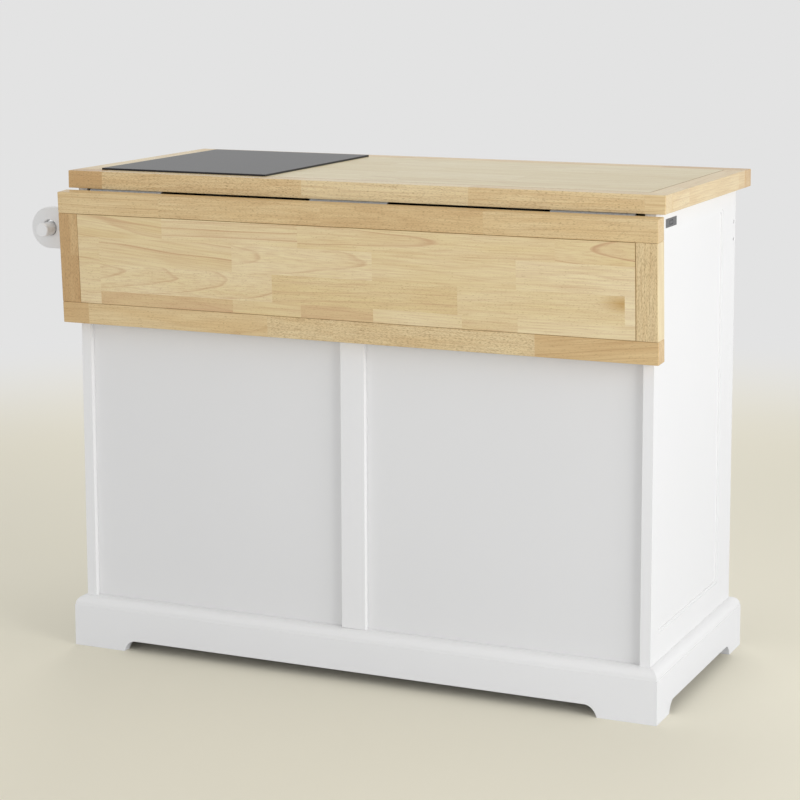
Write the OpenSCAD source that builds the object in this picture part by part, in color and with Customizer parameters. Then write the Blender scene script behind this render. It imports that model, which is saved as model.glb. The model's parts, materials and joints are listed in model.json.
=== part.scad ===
// Kitchen island with a drop leaf: a painted board cabinet on a bracket plinth, a hardwood
// worktop with a let-in glass plate, and a folding leaf hung on three hinges at the back.
// Millimetres. X runs along the width, Y from the doors towards the leaf, Z up.
// The origin is on the floor, under the middle of the cabinet.

/* [Worktop] */
// Length of the worktop and of the leaf
top_w = 1150; // [1000:10:1300]
// Depth of the worktop, front to back
top_d = 510; // [460:5:600]
// Thickness of the worktop and of the leaf
top_t = 32; // [28:1:38]
// Height of the worktop's upper face above the floor
top_h = 900; // [860:5:940]
// Width of the border strips round the worktop and round the leaf
strip_w = 39; // [34:1:50]
// Reach of the worktop past the cabinet at each end
over_side = 18; // [10:1:30]
// Reach of the worktop past the cabinet's back
over_back = 6; // [4:0.5:9]
// Reach of the worktop past the cabinet's front
over_front = 34; // [28:1:50]
// Gap left between glued or butted boards that are separate pieces
joint_gap = 0.1; // [0.05:0.01:0.2]

/* [Glass plate] */
// Length of the glass plate along the worktop
plate_w = 340; // [280:5:380]
// Depth of the glass plate
plate_d = 437; // [380:1:445]
// Thickness of the glass plate
plate_t = 5.5; // [4:0.5:8]
// Depth of the recess that the plate lies in
plate_recess = 2; // [1:0.5:3]
// Wood left between the plate and the end of the worktop
plate_end = 52; // [40:1:80]
// Wood left between the plate and the back of the worktop
plate_back = 33; // [25:1:36]
// Play round the plate in its recess
plate_play = 0.3; // [0.1:0.1:1]

/* [Cabinet] */
// Thickness of the side panels
side_t = 19; // [16:1:22]
// Thickness of the divider, the bottom panel and the drawer and door fronts
board_t = 18; // [15:1:20]
// Thickness of the shelves
shelf_t = 16; // [12:1:20]
// Thickness of the back panels
back_t = 5; // [3:0.5:8]
// Depth that the back panels lie behind the back edges of the side panels
back_recess = 11; // [8:1:14]
// Depth of the grooves in the side panels that hold the back panels
groove_d = 6; // [4:0.5:6.5]
// Play of a board in its groove
groove_play = 0.1; // [0.05:0.05:0.3]
// Width of the middle stile on the back and on the front
mullion_w = 47; // [40:1:60]
// Gap between the top of the back and the worktop
back_top_gap = 18; // [14:1:22]
// Height of the panels' lower edges above the floor, and of the corner blocks
base_h = 26; // [24:1:34]
// Height of the cabinet's floor
floor_h = 125; // [115:1:140]
// Reach of the back panels below the top of the plinth
back_tuck = 35; // [15:1:45]
// Distance of the shelves' undersides below the rail over the doors
shelf_down = 275; // [200:5:400]
// Gap between a shelf and the boards round it
shelf_gap = 1; // [0.5:0.1:2]

/* [Side fields] */
// Depth of the sunk field in each side panel
field_depth = 3; // [1.5:0.5:4]
// Height of the field's lower edge
field_bottom = 148; // [130:1:180]
// Distance of the field's upper edge below the worktop
field_top = 36; // [34:1:60]
// Distance of the field from the back edge of the side
field_back = 38; // [32:1:60]
// Distance of the field from the front edge of the side
field_front = 85; // [60:1:100]
// Rounding of the field's corners
field_round = 8; // [3:1:15]
// Width of the bead step round the field
bead_w = 5; // [3:0.5:8]
// Depth of the bead step
bead_depth = 1; // [0.5:0.1:1.4]

/* [Plinth] */
// Thickness of the plinth boards, which stand out from the cabinet
plinth_t = 18; // [14:1:22]
// Height of the upright face of the plinth
plinth_face_h = 78; // [70:1:85]
// Height of the round moulding on the plinth's face
mould_h = 17; // [10:1:20]
// Height and depth of the fine groove under the moulding
quirk = 1.2; // [0.8:0.1:2]
// Height of the arches between the feet
arch_h = 21; // [15:1:23]
// Length of each foot on the back and front boards
foot_long = 107; // [80:1:140]
// Length of each foot on the side boards
foot_side = 70; // [65:1:100]
// Length of the hollow curve from a foot up to the arch
foot_curve = 23; // [12:1:30]
// Angle at which the curve leaves the floor, before it flattens
foot_slope = 20; // [5:1:40]
// Length of the edges of the corner blocks
corner_block = 45; // [30:1:50]
// Width of the middle foot
mid_foot_w = 44; // [30:1:60]

/* [Face frame] */
// Thickness of the face frame on the front
frame_t = 20; // [18:1:24]
// Width of the outer stiles
stile_w = 40; // [36:1:50]
// Height of the top rail
top_rail_h = 30; // [28:1:36]
// Height of the rail between drawers and doors
mid_rail_h = 30; // [28:1:40]
// Height of the drawer openings
drawer_open_h = 138; // [120:1:160]
// Depth that the bottom rail reaches behind the plinth
rail_tuck = 35; // [20:1:45]
// Gap round the drawer fronts and the doors
front_gap = 2; // [1.5:0.1:3]

/* [Doors] */
// Width of the rails and stiles of each door
door_rail_w = 55; // [45:1:65]
// Thickness of the door panels
door_panel_t = 6; // [5:0.5:7]
// Depth of the door panel behind the door's face
door_panel_sink = 7; // [5:0.5:7.5]
// Depth of the door panel in the grooves of its frame
door_groove = 8; // [6:1:12]
// Distance of the door knobs below the top of the doors
door_knob_down = 78; // [58:2:140]

/* [Drawers] */
// Thickness of the drawer box walls
box_wall = 12; // [10:1:15]
// Height of the drawer box
box_h = 110; // [90:1:118]
// Length of the drawer box
box_len = 385; // [330:5:400]
// Gap between the drawer box and its guides, at each side
box_play = 2.5; // [1.5:0.5:4]
// Thickness of the drawer bottom
box_bottom_t = 5; // [4:0.5:8]
// Height of the drawer bottom above the lower edge of the box
box_bottom_up = 10; // [8:1:15]
// Depth and edge width of the sunk field in the drawer fronts
drawer_field_depth = 3; // [2:0.5:5]
// Width of the border round that field
drawer_field_edge = 28; // [20:1:40]
// Height of a runner's ledge, under the drawer box
runner_h = 20; // [15:1:25]
// Reach of a runner's ledge under the drawer box
runner_ledge = 16; // [12:1:25]
// Height of a runner's guide above its ledge
guide_h = 22; // [15:1:30]
// Height of the drawer box above the lower edge of its opening
runner_up = 4; // [3:0.5:6]
// Gap between the drawer box and its runners
slide_gap = 0.3; // [0.2:0.1:0.5]

/* [Knobs] */
// Radius of a knob's head
knob_r = 14; // [12:0.5:16]
// Radius of a knob's neck
knob_neck_r = 6; // [5:0.5:8]
// Radius of a knob's foot
knob_foot_r = 9; // [8:0.5:11]
// Height of a knob
knob_out = 25; // [22:0.5:27]
// Height of a knob's foot
knob_foot_h = 2; // [1.5:0.5:3]
// Height at which a knob's foot has narrowed to its neck
knob_neck_low = 5; // [4:0.5:7]
// Height of a knob's head
knob_head_h = 11.5; // [9:0.5:13]
// Angle of the round under a knob's head, below its widest place
knob_under = 70; // [60:5:80]

/* [Door hinges] */
// Length of a door hinge
butt_len = 50; // [40:1:70]
// Thickness of its leaves, which share the gap beside the door
butt_t = 0.8; // [0.6:0.05:0.9]
// Outer radius of its knuckles
butt_r = 3; // [2.5:0.1:3]
// Radius of its pin
butt_pin_r = 1.5; // [1.2:0.1:1.8]
// Depth of its leaves along the edge of the door
butt_deep = 20; // [16:0.5:20]
// Distance of each hinge from the door's upper and lower edges
butt_inset = 60; // [50:1:90]
// Play between knuckles, along the pin
knuckle_play = 0.3; // [0.2:0.05:0.5]
// Running clearance of a pin in a knuckle
pin_play = 0.05; // [0.03:0.01:0.08]

/* [Leaf] */
// Length of the leaf from its hinged edge to its free edge
leaf_drop = 243.5; // [200:0.5:320]
// Distance of the hinge axis behind the worktop's edge
hinge_out = 3; // [3:0.1:4]
// Gap between the worktop and the leaf's hinged edge when the leaf is up
leaf_gap = 1.5; // [1.2:0.1:3]
// Gap between the hanging leaf's lower edge and the cabinet
leaf_rest_gap = 0.3; // [0.1:0.1:0.5]

/* [Leaf hinges] */
// Length of each leaf hinge
hinge_len = 150; // [120:5:200]
// Distance of the outer hinges from the cabinet's ends
hinge_end = 32; // [25:1:60]
// Number of knuckles on each hinge, an odd number
hinge_knuckles = 11; // [7:2:13]
// Radius of the hinge pin
hinge_pin_r = 2.2; // [2:0.1:2.5]
// Thickness of the hinge plates
hinge_t = 1.5; // [1.2:0.1:1.8]
// Gap between the knuckles and the inner face of the leaf, and the same to the underside of the top
barrel_gap = 0.25; // [0.2:0.05:1]
// Width of the hinge plates, measured from the axis
hinge_w = 38; // [32:1:39]
// Play of the middle hinge in the notch that the divider leaves for it
notch_play = 1; // [0.5:0.1:2]
// Gap between a hinge plate and the knuckles of the other plate
hinge_clear = 0.4; // [0.3:0.1:0.6]
// Number of screws in each hinge plate
hinge_screws = 3; // [2:1:4]
// Distance of the screws from the far edges of the plates
screw_edge = 14.4; // [10:0.2:18]
// Radius of the screws' shanks
screw_r = 2; // [1.5:0.1:2.5]
// Radius of the screws' heads
screw_head_r = 4; // [3:0.1:5]
// Thickness of the screws' heads
screw_head_t = 1.5; // [1:0.1:2]
// Length of the screws in the wood
screw_len = 18; // [12:1:20]

/* [Leaf supports] */
// Distance of the support bars from the inner ends of the outer hinges
bar_beside = 75; // [40:5:90]
// Width of a support bar
bar_w = 30; // [24:1:40]
// Thickness of a support bar
bar_t = 5; // [4:0.1:5]
// Length of a support bar
bar_len = 190; // [170:5:195]
// Distance of a support bar's upper end from the hinge axis when the leaf hangs
bar_top = 12; // [10:1:20]
// Gap between a support bar and the leaf
bar_gap = 1; // [0.8:0.1:1.2]
// Gap between a support bar and its guides
guide_play = 0.5; // [0.3:0.1:0.6]
// Thickness of the guides' sheet steel
guide_t = 1.2; // [1:0.1:1.5]
// Width of a guide's feet
guide_foot = 14; // [10:1:20]
// Length of a guide along the bar
guide_len = 16; // [12:1:20]
// Distances of the two guides of a bar from the hinge axis
guide_at = [28, 78]; // [10:1:90]
// Radius of the finger hole in a support bar
finger_r = 7; // [5:0.5:9]
// Width of the bearer bar under the worktop
bearer_w = 60; // [50:1:70]
// Height of the bearer bar
bearer_h = 15; // [12:1:18]
// Wall of the bearer bar
bearer_wall = 1.5; // [1:0.1:2]
// Distance of the bearer bar below the worktop
bearer_gap = 14.5; // [12:0.5:16]
// Distance of the bearer bar from the cabinet's back
bearer_inset = 52; // [45:1:70]
// Play of the bearer bar in the panels
bearer_play = 0.2; // [0.1:0.1:0.4]
// Thickness of the bearer bar's end caps outside the tube
cap_t = 3; // [2:0.5:4]
// Length of the caps' plugs inside the tube
cap_plug = 10; // [6:1:15]
// Length of the oval mark in a cap
cap_oval_w = 22; // [16:1:28]
// Height of the oval mark in a cap
cap_oval_h = 8; // [5:0.5:9]
// Width of the ring round the oval mark
cap_ring = 1.4; // [1:0.1:1.8]
// Length of a keeper along the bearer bar
keeper_w = 40; // [34:1:60]

/* [Side rail] */
// Distance of the side rail's brackets below the worktop, at their middle
rail_down = 78; // [60:2:120]
// Distance of the rail's holes from the side of the cabinet
rail_out = 68; // [60:1:80]
// Height of a rail bracket
bracket_h = 77; // [60:1:85]
// Thickness of a rail bracket
bracket_t = 17; // [14:1:20]
// Distance of a bracket's middle from the front and back edges
bracket_in = 12; // [10.5:0.5:14]
// Radius of the rail
rail_r = 13; // [11:0.5:14]
// Radius of the holes that the rail lies in
rail_hole_r = 15; // [14.5:0.5:18]
// Reach of the rail past its brackets
rail_past = 27; // [15:1:40]
// Clearance under the rail in its holes
rail_seat = 0.05; // [0.03:0.01:0.1]
// Radius of the bored holes for a bracket's pegs
peg_hole_r = 3.5; // [3:0.1:4]
// Wood left between those holes and the groove for the back
peg_web = 1; // [0.5:0.1:2]
// Distance between the two holes of a bracket
peg_pitch = 32; // [25:1:48]
// Clearance round a peg
peg_play = 0.05; // [0.03:0.01:0.1]

/* [Small fittings] */
// Radius of a shelf pin
shelf_pin_r = 2.5; // [2:0.1:3]
// Depth of a shelf pin in its hole
shelf_pin_in = 8; // [6:0.5:8.5]
// Reach of a shelf pin under the shelf
shelf_pin_out = 9; // [7:0.5:12]
// Distance of the shelf pins from the ends of the shelf
shelf_pin_inset = 50; // [30:1:80]
// Length of a door catch
catch_w = 50; // [40:1:60]
// Depth of a door catch
catch_d = 20; // [15:1:25]
// Gap between a door catch and the door
catch_gap = 0.5; // [0.3:0.1:1]
// Height of a door catch
catch_h = 15; // [12:1:18]
// Width and height of the blocks under the worktop
top_block = 25; // [20:1:28]
// Length of those blocks
top_block_len = 60; // [40:1:80]
// Places of those blocks along the depth, from the middle
top_block_at = [-170, 60]; // [-190:1:100]

/* [Hidden] */
$fn = 64;
eps = 0.5;
arc_steps = 10;
corner_steps = 5;

body_w = top_w - 2 * over_side;
body_d = top_d - over_back - over_front;
bx = body_w / 2;
by = body_d / 2;
tx = top_w / 2;
top_back_y = by + over_back;
top_front_y = -by - over_front;
under = top_h - top_t;

side_in = bx - side_t;
half_board = board_t / 2;
back_out_y = by - back_recess;
back_in_y = back_out_y - back_t;
back_top = under - back_top_gap;
frame_in_y = -by + frame_t;
plinth_top = plinth_face_h + mould_h;
mullion_x = mullion_w / 2;

open_in = mullion_x;
open_out = bx - stile_w;
drawer_top = under - top_rail_h;
drawer_low = drawer_top - drawer_open_h;
door_top = drawer_low - mid_rail_h;
front_in_y = -by + board_t;
bay_mid = (open_in + open_out) / 2;
door_w = (open_out - open_in - 3 * front_gap) / 2;
door_low_z = floor_h + front_gap;
door_high_z = door_top - front_gap;
door_knob_z = door_high_z - door_knob_down;
butt_y = -by - butt_r;
runner_top = drawer_low + runner_up - slide_gap;
box_low = drawer_low + runner_up;

hinge_bore_r = hinge_pin_r + pin_play;
barrel_r = hinge_bore_r + hinge_t;
hinge_drop = barrel_r + barrel_gap;
hinge_y = top_back_y + hinge_out;
hinge_z = under - hinge_drop;
leaf_top = hinge_out - leaf_gap;
leaf_reach = leaf_drop - leaf_top;
leaf_tilt = asin((hinge_y - by - leaf_rest_gap) / norm([hinge_drop, leaf_reach]))
    + atan(hinge_drop / leaf_reach);
hinge_at = [-bx + hinge_end + hinge_len / 2, 0, bx - hinge_end - hinge_len / 2];
knuckle = hinge_len / hinge_knuckles;
screw_at = hinge_w - screw_edge;
hinge_root = barrel_r + hinge_clear;
tongue_end = max(0, leaf_top + hinge_clear);

bar_x = bx - hinge_end - hinge_len - bar_beside;
bearer_back = by - bearer_inset;
bearer_front = bearer_back - bearer_w;
bearer_top = under - bearer_gap;
bearer_low = bearer_top - bearer_h;
bar_in = hinge_drop - bar_gap;
bar_out = bar_in - bar_t;
keeper_top = hinge_z + bar_out - slide_gap;

rail_x = bx + rail_out;
rail_z = under - rail_down;
rail_low = rail_hole_r - rail_r - rail_seat;
bracket_y = by - bracket_in;
peg_hole_d = side_t - groove_d - peg_web;
rail_end = bracket_y + bracket_t / 2 + rail_past;
peg_z = [rail_z - peg_pitch / 2, rail_z + peg_pitch / 2];
shelf_h = door_top - shelf_down;
shelf_pin_z = shelf_h - shelf_pin_r;
shelf_front = frame_in_y + shelf_gap;
shelf_back = back_in_y - shelf_gap;

paint = [0.93, 0.93, 0.92];
wood = [0.82, 0.7, 0.5];
wood_edge = [0.78, 0.65, 0.44];
raw_wood = [0.87, 0.8, 0.66];
glass_black = [0.12, 0.12, 0.13];
steel = [0.72, 0.72, 0.73];
dark_steel = [0.4, 0.4, 0.41];
cap_grey = [0.38, 0.38, 0.39];

// ---- Shared shapes ----

// A block between two opposite corners
module block(low, high) {
    translate(low) cube(high - low);
}

// The children, turned over to the other end of the island when asked
module flip(over) {
    if (over) mirror([1, 0, 0]) children();
    else children();
}

module both_ends() {
    children();
    mirror([1, 0, 0]) children();
}

// A flat outline in X and Z, made solid between two places along Y
module along_y(from, to) {
    translate([0, to, 0]) rotate([90, 0, 0]) linear_extrude(to - from) children();
}

// A flat outline in Y and Z, made solid between two places along X
module along_x(from, to) {
    translate([from, 0, 0]) rotate([90, 0, 90]) linear_extrude(to - from) children();
}

// A rod along X or along Y between two places
module rod_x(from, to, y, z, r) {
    translate([from, y, z]) rotate([0, 90, 0]) cylinder(h = to - from, r = r);
}

module rod_y(from, to, x, z, r) {
    translate([x, to, z]) rotate([90, 0, 0]) cylinder(h = to - from, r = r);
}

// Points of a rectangle with rounded corners
function round_rect(low, high, r) = [
    for (turn = [0 : 3], i = [0 : corner_steps])
        let (a = 90 * (turn + i / corner_steps))
            [(turn == 0 || turn == 3 ? high[0] - r : low[0] + r) + r * cos(a),
             (turn < 2 ? high[1] - r : low[1] + r) + r * sin(a)]
];

// ---- Worktop ----

module plate_recess_cut() {
    block([tx - plate_end - plate_w - plate_play,
           top_back_y - plate_back - plate_d - plate_play, top_h - plate_recess],
          [tx - plate_end + plate_play, top_back_y - plate_back + plate_play, top_h + eps]);
}

module worktop_field() {
    color(wood) difference() {
        block([-tx + strip_w, top_front_y + strip_w, under],
              [tx - strip_w, top_back_y - strip_w, top_h]);
        plate_recess_cut();
    }
}

// Two long strips, and an end strip between them at each end
module worktop_rails() {
    color(wood_edge) difference() {
        union() {
            block([-tx, top_back_y - strip_w, under], [tx, top_back_y, top_h]);
            block([-tx, top_front_y, under], [tx, top_front_y + strip_w, top_h]);
            both_ends()
                block([tx - strip_w, top_front_y + strip_w + joint_gap, under],
                      [tx, top_back_y - strip_w - joint_gap, top_h]);
        }
        plate_recess_cut();
        at_hinge_screws()
            translate([0, hinge_y - screw_at, under - eps])
                cylinder(h = screw_len + 2 * eps, r = screw_r + pin_play);
    }
}

module glass_plate() {
    color(glass_black)
        block([tx - plate_end - plate_w, top_back_y - plate_back - plate_d, top_h - plate_recess],
              [tx - plate_end, top_back_y - plate_back, top_h - plate_recess + plate_t]);
}

// ---- Cabinet ----

module bearer_mortise() {
    block([-tx, bearer_front - bearer_play, bearer_low - bearer_play],
          [tx, bearer_back + bearer_play, bearer_top + bearer_play]);
}

// The blind holes of the rail pattern, on the +X side
module peg_holes() {
    for (y = [-bracket_y, bracket_y], z = peg_z)
        rod_x(bx - peg_hole_d, bx + eps, y, z, peg_hole_r);
}

module field_outline(grow) {
    polygon(round_rect([-by + field_front - grow, field_bottom - grow],
                       [by - field_back + grow, under - field_top + grow], field_round));
}

// The +X side panel, with its sunk field outside and its back groove inside
module side_panel() {
    difference() {
        block([side_in, frame_in_y, base_h], [bx, by, under]);
        along_x(bx - field_depth, bx + eps) field_outline(0);
        along_x(bx - bead_depth, bx + eps) field_outline(bead_w);
        block([side_in - eps, back_in_y - groove_play, base_h - eps],
              [side_in + groove_d, back_out_y + groove_play, back_top + groove_play]);
        bearer_mortise();
        peg_holes();
        shelf_pin_holes();
    }
}

module side_panel_left() {
    color(paint) flip(true) side_panel();
}

module side_panel_right() {
    color(paint) side_panel();
}

module centre_divider() {
    color(paint) difference() {
        block([-half_board, frame_in_y, floor_h], [half_board, back_in_y, under]);
        bearer_mortise();
        both_ends() shelf_pin_holes();
        block([-board_t, hinge_y - hinge_w - notch_play, under - hinge_t - screw_head_t - notch_play],
              [board_t, by, under + eps]);
    }
}

module bottom_panel() {
    color(paint)
        block([-side_in, frame_in_y, floor_h - board_t], [side_in, back_in_y, floor_h]);
}

module back_panel() {
    block([joint_gap, back_in_y, plinth_top - back_tuck],
          [side_in + groove_d - joint_gap, back_out_y, back_top]);
}

module back_panel_left() {
    color(paint) flip(true) back_panel();
}

module back_panel_right() {
    color(paint) back_panel();
}

module back_mullion() {
    color(paint) block([-mullion_x, back_out_y, plinth_top], [mullion_x, by, back_top]);
}

module back_batten() {
    color(paint) block([-side_in, back_out_y, base_h], [side_in, by, plinth_top]);
}

module face_frame_stiles() {
    color(paint) {
        for (left = [false, true])
            flip(left) difference() {
                block([open_out, -by, base_h], [bx, frame_in_y, under]);
                peg_holes();
            }
        block([-open_in, -by, plinth_top - rail_tuck], [open_in, frame_in_y, under]);
    }
}

module face_frame_rails() {
    color(paint) both_ends()
        for (z = [[plinth_top - rail_tuck, floor_h], [door_top, drawer_low], [drawer_top, under]])
            block([open_in, -by, z[0]], [open_out, frame_in_y, z[1]]);
}

module shelf_right() {
    color(paint)
        block([half_board + shelf_gap, shelf_front, shelf_h],
              [side_in - shelf_gap, shelf_back, shelf_h + shelf_t]);
}

module shelf_left() {
    flip(true) shelf_right();
}

// Where the pins of the +X shelf stand: each one's inner end, and which way it points
function shelf_pin_y() = [shelf_front + shelf_pin_inset, shelf_back - shelf_pin_inset];

module shelf_pin_holes() {
    for (y = shelf_pin_y()) {
        rod_x(half_board - shelf_pin_in, half_board + eps, y, shelf_pin_z, shelf_pin_r + pin_play);
        rod_x(side_in - eps, side_in + shelf_pin_in, y, shelf_pin_z, shelf_pin_r + pin_play);
    }
}

module shelf_pins() {
    color(steel) both_ends()
        for (y = shelf_pin_y()) {
            rod_x(half_board - shelf_pin_in, half_board + shelf_pin_out, y, shelf_pin_z, shelf_pin_r);
            rod_x(side_in - shelf_pin_out, side_in + shelf_pin_in, y, shelf_pin_z, shelf_pin_r);
        }
}

// Blocks that hold the worktop to the panels
module top_blocks() {
    color(raw_wood) both_ends()
        for (y = top_block_at, x = [half_board, side_in - top_block])
            block([x, y - top_block_len / 2, under - top_block],
                  [x + top_block, y + top_block_len / 2, under]);
}

module door_catches() {
    color(dark_steel) both_ends()
        block([bay_mid - catch_w / 2, front_in_y + catch_gap, floor_h],
              [bay_mid + catch_w / 2, front_in_y + catch_d, floor_h + catch_h]);
}

// ---- Plinth ----

// Section of a plinth board: the first value is the distance out from the cabinet
module plinth_section() {
    round_out = plinth_t - quirk;
    round_up = mould_h - quirk;
    polygon(concat(
        [[0, 0], [plinth_t, 0], [plinth_t, plinth_face_h], [round_out, plinth_face_h]],
        [for (i = [0 : arc_steps])
            [round_out * cos(90 * i / arc_steps),
             plinth_face_h + quirk + round_up * sin(90 * i / arc_steps)]]));
}

// Outline of the arch under a board, between the toes of its feet
module arch_outline(half_len, foot) {
    toe = half_len - foot;
    drop = sin(foot_slope);
    curve = [for (i = [0 : arc_steps])
        let (a = foot_slope + (90 - foot_slope) * i / arc_steps)
            [toe - foot_curve + foot_curve * cos(a) / cos(foot_slope),
             arch_h * (sin(a) - drop) / (1 - drop)]];
    polygon(concat([[toe, -eps]], curve,
        [for (i = [arc_steps : -1 : 0]) [-curve[i][0], curve[i][1]]], [[-toe, -eps]]));
}

// A board of a given half length that stands at the distance `out` on the +Y side
module plinth_board(half_len, out, foot) {
    reach = half_len + plinth_t;
    intersection() {
        difference() {
            along_x(-reach, reach) translate([out, 0]) plinth_section();
            along_y(out - eps, out + plinth_t + eps) arch_outline(reach, foot);
        }
        translate([0, 0, -eps]) linear_extrude(plinth_top + 2 * eps)
            polygon([[-half_len, out], [half_len, out],
                     [reach, out + plinth_t], [-reach, out + plinth_t]]);
    }
}

module plinth_back() {
    color(paint) plinth_board(bx, by, foot_long);
}

module plinth_front() {
    color(paint) rotate([0, 0, 180]) plinth_board(bx, by, foot_long);
}

module plinth_left() {
    color(paint) rotate([0, 0, 90]) plinth_board(by, bx, foot_side);
}

module plinth_right() {
    color(paint) rotate([0, 0, -90]) plinth_board(by, bx, foot_side);
}

module corner_blocks() {
    color(raw_wood)
        for (x = [-bx, bx - corner_block], y = [-by, by - corner_block])
            block([x, y, 0], [x + corner_block, y + corner_block, base_h]);
}

module middle_foot() {
    color(raw_wood)
        block([-mid_foot_w / 2, -mid_foot_w / 2, 0],
              [mid_foot_w / 2, mid_foot_w / 2, floor_h - board_t]);
}

// ---- Drawers ----

// Wooden runners: a ledge under each side of the box and a guide beside it
module drawer_runners() {
    run_back = front_in_y + box_len;
    color(raw_wood) both_ends() {
        block([half_board, frame_in_y, runner_top - runner_h],
              [open_in + runner_ledge, run_back, runner_top]);
        block([half_board, frame_in_y, runner_top - eps], [open_in, run_back, runner_top + guide_h]);
        block([open_out - runner_ledge, frame_in_y, runner_top - runner_h],
              [side_in, run_back, runner_top]);
        block([open_out, frame_in_y, runner_top - eps], [side_in, run_back, runner_top + guide_h]);
    }
}

module drawer_front() {
    low = [open_in + front_gap, drawer_low + front_gap];
    high = [open_out - front_gap, drawer_top - front_gap];
    edge = [drawer_field_edge, drawer_field_edge];
    difference() {
        block([low[0], -by, low[1]], [high[0], front_in_y, high[1]]);
        block([low[0] + edge[0], -by - eps, low[1] + edge[1]],
              [high[0] - edge[0], -by + drawer_field_depth, high[1] - edge[1]]);
    }
}

// Four walls and a bottom, each a board of its own
module drawer_box() {
    left = open_in + box_play;
    right = open_out - box_play;
    front = front_in_y;
    back = front_in_y + box_len;
    in_left = left + box_wall + joint_gap;
    in_right = right - box_wall - joint_gap;
    block([left, front, box_low], [left + box_wall, back, box_low + box_h]);
    block([right - box_wall, front, box_low], [right, back, box_low + box_h]);
    block([in_left, front, box_low], [in_right, front + box_wall, box_low + box_h]);
    block([in_left, back - box_wall, box_low], [in_right, back, box_low + box_h]);
    block([in_left, front + box_wall + joint_gap, box_low + box_bottom_up],
          [in_right, back - box_wall - joint_gap, box_low + box_bottom_up + box_bottom_t]);
}

// A turned knob that stands out towards -Y from the face it is fixed to
module knob(x, z, y = -by) {
    translate([x, y, z]) rotate([90, 0, 0]) rotate_extrude()
        polygon(concat(
            [[0, 0], [knob_foot_r, 0], [knob_foot_r, knob_foot_h], [knob_neck_r, knob_neck_low],
             [knob_neck_r, knob_out - knob_head_h]],
            [for (i = [0 : arc_steps])
                let (a = (90 + knob_under) * i / arc_steps - knob_under)
                    [max(0, knob_r * cos(a)), knob_out - knob_head_h * (1 - sin(a)) / 2]],
            [[0, knob_out]]));
}

module drawer_knob() {
    knob(bay_mid, (drawer_low + drawer_top) / 2, -by + drawer_field_depth);
}

module drawer_front_left() {
    color(paint) flip(true) drawer_front();
}

module drawer_front_right() {
    color(paint) drawer_front();
}

module drawer_box_left() {
    color(raw_wood) flip(true) drawer_box();
}

module drawer_box_right() {
    color(raw_wood) drawer_box();
}

module drawer_knob_left() {
    color(steel) flip(true) drawer_knob();
}

module drawer_knob_right() {
    color(steel) drawer_knob();
}

// ---- Doors: 1 and 4 hang at the cabinet's ends, 2 and 3 at the middle stile ----

function is_left(n) = n < 3;
function is_outer(n) = n == 1 || n == 4;
door_zs = [door_low_z + butt_inset, door_high_z - butt_inset - butt_len];

// Puts a door drawn from its hinge axis, along +X, in its own place
module place_door(n) {
    flip(is_left(n))
        translate([is_outer(n) ? open_out - front_gap / 2 : open_in + front_gap / 2, 0, 0])
            flip(is_outer(n)) children();
}

// Four sticks with a panel loose in their grooves
module door() {
    left = front_gap / 2;
    right = left + door_w;
    sink = -by + door_panel_sink;
    grip = door_rail_w - door_groove;
    difference() {
        union() {
            for (x = [left, right - door_rail_w])
                block([x, -by, door_low_z], [x + door_rail_w, front_in_y, door_high_z]);
            for (z = [door_low_z, door_high_z - door_rail_w])
                block([left + door_rail_w + joint_gap, -by, z],
                      [right - door_rail_w - joint_gap, front_in_y, z + door_rail_w]);
        }
        block([left + grip - groove_play, sink - groove_play, door_low_z + grip - groove_play],
              [right - grip + groove_play, sink + door_panel_t + groove_play,
               door_high_z - grip + groove_play]);
    }
    block([left + grip, sink, door_low_z + grip],
          [right - grip, sink + door_panel_t, door_high_z - grip]);
}

module door_knob() {
    knob(front_gap / 2 + door_w - door_rail_w / 2, door_knob_z);
}

// Knuckle 1 of 3 is on the door, the outer two are on the cabinet
module butt_knuckles(z, on_door) {
    third = butt_len / 3;
    for (i = on_door ? [1] : [0, 2]) {
        low = z + i * third + (i > 0 ? knuckle_play : 0);
        high = z + (i + 1) * third - (i < 2 ? knuckle_play : 0);
        translate([0, butt_y, low]) cylinder(h = high - low, r = butt_r);
        if (on_door) block([front_gap / 2 - butt_t, butt_y, low],
                           [front_gap / 2, -by + butt_r, high]);
        else block([-front_gap / 2, butt_y, low], [-front_gap / 2 + butt_t, -by + butt_r, high]);
    }
}

module door_hinges() {
    for (z = door_zs) {
        difference() {
            butt_knuckles(z, true);
            translate([0, butt_y, z]) cylinder(h = butt_len, r = butt_pin_r + pin_play);
        }
        block([front_gap / 2 - butt_t, -by + eps, z],
              [front_gap / 2, -by + butt_deep - butt_r, z + butt_len]);
    }
}

module door_hinge_plate() {
    for (z = door_zs) {
        butt_knuckles(z, false);
        translate([0, butt_y, z]) cylinder(h = butt_len, r = butt_pin_r);
        block([-front_gap / 2, -by + eps, z],
              [-front_gap / 2 + butt_t, -by + butt_deep - butt_r, z + butt_len]);
    }
}

module door_hinge_plates() {
    color(steel) for (n = [1 : 4]) place_door(n) door_hinge_plate();
}

module door_n(n) {
    color(paint) place_door(n) door();
}

module door_n_knob(n) {
    color(steel) place_door(n) door_knob();
}

module door_n_hinges(n) {
    color(steel) place_door(n) door_hinges();
}

// ---- Bearer bar and keepers ----

module bearer_bar() {
    color(dark_steel) difference() {
        block([-bx + cap_t, bearer_front, bearer_low], [bx - cap_t, bearer_back, bearer_top]);
        block([-tx, bearer_front + bearer_wall, bearer_low + bearer_wall],
              [tx, bearer_back - bearer_wall, bearer_top - bearer_wall]);
    }
}

// Two round ends and the straight between them
module oval(w, h) {
    square([w - h, h], center = true);
    for (y = [-1, 1]) translate([y * (w - h) / 2, 0]) circle(d = h);
}

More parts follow.
